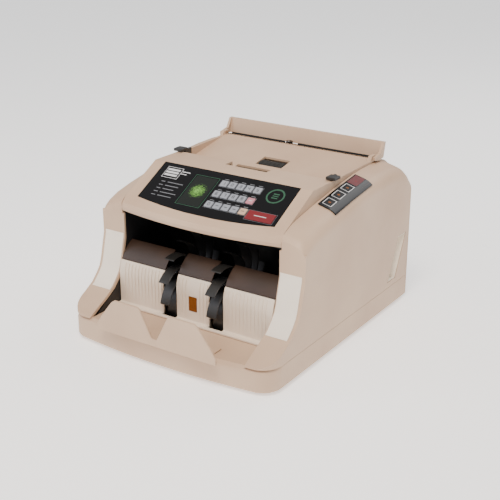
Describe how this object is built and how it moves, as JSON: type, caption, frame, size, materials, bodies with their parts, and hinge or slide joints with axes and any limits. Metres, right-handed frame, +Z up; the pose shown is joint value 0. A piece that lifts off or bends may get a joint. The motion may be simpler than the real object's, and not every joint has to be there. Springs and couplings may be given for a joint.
{
  "type": "banknote counting machine",
  "caption": "Desktop banknote counter: sloping key panel, rear hopper with support flap, open front pocket with finned stacker wheels and stop plate.",
  "frame": {"origin": "middle of the footprint, on the surface the feet stand on", "axes": "+X right seen from the front, front faces -Y, +Z up"},
  "size_m": [0.25, 0.303, 0.185],
  "materials": {
    "beige_shell": "fine moulded texture, warm beige-grey",
    "black_plastic": "moulded, satin",
    "black_steel": "black painted sheet",
    "gloss_overlay": "glossy overlay film",
    "steel": "ground",
    "plated_steel": "zinc plated",
    "rubber": "matte",
    "green_display": "green tinted window",
    "amber_window": "tinted, clear",
    "grey_key": "satin",
    "pink_key": "satin",
    "red_key": "satin",
    "circuit_board": "solder mask"
  },
  "bodies": {
    "housing": {"base_chassis": "beige_shell", "side_cover_right": "beige_shell", "side_cover_left": "beige_shell", "rear_cover": "beige_shell", "front_fascia": "beige_shell", "hopper_tray": "beige_shell", "stacker_guard": "beige_shell", "sensor_window": "amber_window", "stop_plate": "beige_shell", "pocket_liner": "black_plastic", "side_frame_right": "black_steel", "side_frame_left": "black_steel", "drive_motor": "plated_steel", "drive_belt": "rubber", "control_panel": "gloss_overlay", "display_window": "green_display", "control_board": "circuit_board", "indicator_strip": "gloss_overlay", "power_inlet": "black_plastic", "power_unit": "plated_steel", "main_board": "circuit_board", "foot_front_right": "rubber", "foot_front_left": "rubber", "foot_rear_right": "rubber", "foot_rear_left": "rubber"},
    "stacker": {"stacker_shaft": "steel", "stacker_wheel_right": "black_plastic", "stacker_wheel_left": "black_plastic", "stacker_pulley": "black_plastic"},
    "feeder": {"feed_shaft": "steel", "feed_roller_right": "rubber", "feed_roller_left": "rubber", "feed_pulley": "black_plastic"},
    "pickup": {"pickup_shaft": "steel", "pickup_roller": "rubber", "pickup_pulley": "black_plastic"},
    "motor_rotor": {"motor_pulley": "black_plastic"},
    "guide_right": {"note_guide_right": "black_plastic"},
    "guide_left": {"note_guide_left": "black_plastic"},
    "flap": {"support_flap": "beige_shell"},
    "thickness_screw": {"gap_screw": "black_plastic"},
    "power_rocker": {"power_switch": "gloss_overlay"},
    "key_top_1": {"key_top_1": "grey_key"},
    "key_top_2": {"key_top_2": "grey_key"},
    "key_top_3": {"key_top_3": "grey_key"},
    "key_top_4": {"key_top_4": "grey_key"},
    "key_top_5": {"key_top_5": "grey_key"},
    "key_middle_1": {"key_middle_1": "grey_key"},
    "key_middle_2": {"key_middle_2": "grey_key"},
    "key_middle_3": {"key_middle_3": "grey_key"},
    "key_middle_4": {"key_middle_4": "grey_key"},
    "key_middle_5": {"key_middle_5": "pink_key"},
    "key_bottom_1": {"key_bottom_1": "grey_key"},
    "key_bottom_2": {"key_bottom_2": "grey_key"},
    "key_bottom_3": {"key_bottom_3": "grey_key"},
    "key_bottom_4": {"key_bottom_4": "grey_key"},
    "key_bottom_5": {"key_bottom_5": "beige_shell"},
    "key_start": {"key_start": "red_key"}
  },
  "joints": [
    {"name": "stacker_spin", "type": "hinge", "parent": "housing", "child": "stacker", "pos_m": [0, -0.0515, 0.06], "axis": [1, 0, 0], "continuous": true},
    {"name": "feeder_spin", "type": "hinge", "parent": "housing", "child": "feeder", "pos_m": [0, 0.024, 0.141], "axis": [1, 0, 0], "continuous": true},
    {"name": "pickup_spin", "type": "hinge", "parent": "housing", "child": "pickup", "pos_m": [0, 0.0625, 0.15033], "axis": [1, 0, 0], "continuous": true},
    {"name": "motor_spin", "type": "hinge", "parent": "housing", "child": "motor_rotor", "pos_m": [-0.104, 0.0695, 0.045], "axis": [1, 0, 0], "continuous": true},
    {"name": "guide_right_slide", "type": "slide", "parent": "housing", "child": "guide_right", "axis": [-1, 0, 0], "range_m": [0, 0.026]},
    {"name": "guide_left_slide", "type": "slide", "parent": "housing", "child": "guide_left", "axis": [1, 0, 0], "range_m": [0, 0.026]},
    {"name": "flap_tilt", "type": "hinge", "parent": "housing", "child": "flap", "pos_m": [0, 0.1095, 0.1705], "axis": [1, 0, 0], "range_deg": [0, 110]},
    {"name": "thickness_turn", "type": "hinge", "parent": "housing", "child": "thickness_screw", "pos_m": [-0.013, 0.1177, 0.17], "axis": [0, 0, 1], "range_deg": [-180, 180]},
    {"name": "power_rock", "type": "hinge", "parent": "housing", "child": "power_rocker", "pos_m": [-0.036, 0.1465, 0.05], "axis": [1, 0, 0], "range_deg": [-6, 6]},
    {"name": "key_top_1_press", "type": "slide", "parent": "housing", "child": "key_top_1", "axis": [0, 0.4633, -0.8862], "range_m": [0, 0.0008], "stiffness_N_per_m": 300, "springref_m": -0.0005},
    {"name": "key_top_2_press", "type": "slide", "parent": "housing", "child": "key_top_2", "axis": [0, 0.4633, -0.8862], "range_m": [0, 0.0008], "stiffness_N_per_m": 300, "springref_m": -0.0005},
    {"name": "key_top_3_press", "type": "slide", "parent": "housing", "child": "key_top_3", "axis": [0, 0.4633, -0.8862], "range_m": [0, 0.0008], "stiffness_N_per_m": 300, "springref_m": -0.0005},
    {"name": "key_top_4_press", "type": "slide", "parent": "housing", "child": "key_top_4", "axis": [0, 0.4633, -0.8862], "range_m": [0, 0.0008], "stiffness_N_per_m": 300, "springref_m": -0.0005},
    {"name": "key_top_5_press", "type": "slide", "parent": "housing", "child": "key_top_5", "axis": [0, 0.4633, -0.8862], "range_m": [0, 0.0008], "stiffness_N_per_m": 300, "springref_m": -0.0005},
    {"name": "key_middle_1_press", "type": "slide", "parent": "housing", "child": "key_middle_1", "axis": [0, 0.4633, -0.8862], "range_m": [0, 0.0008], "stiffness_N_per_m": 300, "springref_m": -0.0005},
    {"name": "key_middle_2_press", "type": "slide", "parent": "housing", "child": "key_middle_2", "axis": [0, 0.4633, -0.8862], "range_m": [0, 0.0008], "stiffness_N_per_m": 300, "springref_m": -0.0005},
    {"name": "key_middle_3_press", "type": "slide", "parent": "housing", "child": "key_middle_3", "axis": [0, 0.4633, -0.8862], "range_m": [0, 0.0008], "stiffness_N_per_m": 300, "springref_m": -0.0005},
    {"name": "key_middle_4_press", "type": "slide", "parent": "housing", "child": "key_middle_4", "axis": [0, 0.4633, -0.8862], "range_m": [0, 0.0008], "stiffness_N_per_m": 300, "springref_m": -0.0005},
    {"name": "key_middle_5_press", "type": "slide", "parent": "housing", "child": "key_middle_5", "axis": [0, 0.4633, -0.8862], "range_m": [0, 0.0008], "stiffness_N_per_m": 300, "springref_m": -0.0005},
    {"name": "key_bottom_1_press", "type": "slide", "parent": "housing", "child": "key_bottom_1", "axis": [0, 0.4633, -0.8862], "range_m": [0, 0.0008], "stiffness_N_per_m": 300, "springref_m": -0.0005},
    {"name": "key_bottom_2_press", "type": "slide", "parent": "housing", "child": "key_bottom_2", "axis": [0, 0.4633, -0.8862], "range_m": [0, 0.0008], "stiffness_N_per_m": 300, "springref_m": -0.0005},
    {"name": "key_bottom_3_press", "type": "slide", "parent": "housing", "child": "key_bottom_3", "axis": [0, 0.4633, -0.8862], "range_m": [0, 0.0008], "stiffness_N_per_m": 300, "springref_m": -0.0005},
    {"name": "key_bottom_4_press", "type": "slide", "parent": "housing", "child": "key_bottom_4", "axis": [0, 0.4633, -0.8862], "range_m": [0, 0.0008], "stiffness_N_per_m": 300, "springref_m": -0.0005},
    {"name": "key_bottom_5_press", "type": "slide", "parent": "housing", "child": "key_bottom_5", "axis": [0, 0.4633, -0.8862], "range_m": [0, 0.0008], "stiffness_N_per_m": 300, "springref_m": -0.0005},
    {"name": "key_start_press", "type": "slide", "parent": "housing", "child": "key_start", "axis": [0, 0.4633, -0.8862], "range_m": [0, 0.0008], "stiffness_N_per_m": 300, "springref_m": -0.0005}
  ],
  "couplings": [
    {"joint": "feeder_spin", "follows": "stacker_spin", "ratio": 1},
    {"joint": "pickup_spin", "follows": "stacker_spin", "ratio": 1},
    {"joint": "motor_spin", "follows": "stacker_spin", "ratio": 1},
    {"joint": "guide_left_slide", "follows": "guide_right_slide", "ratio": 1}
  ]
}
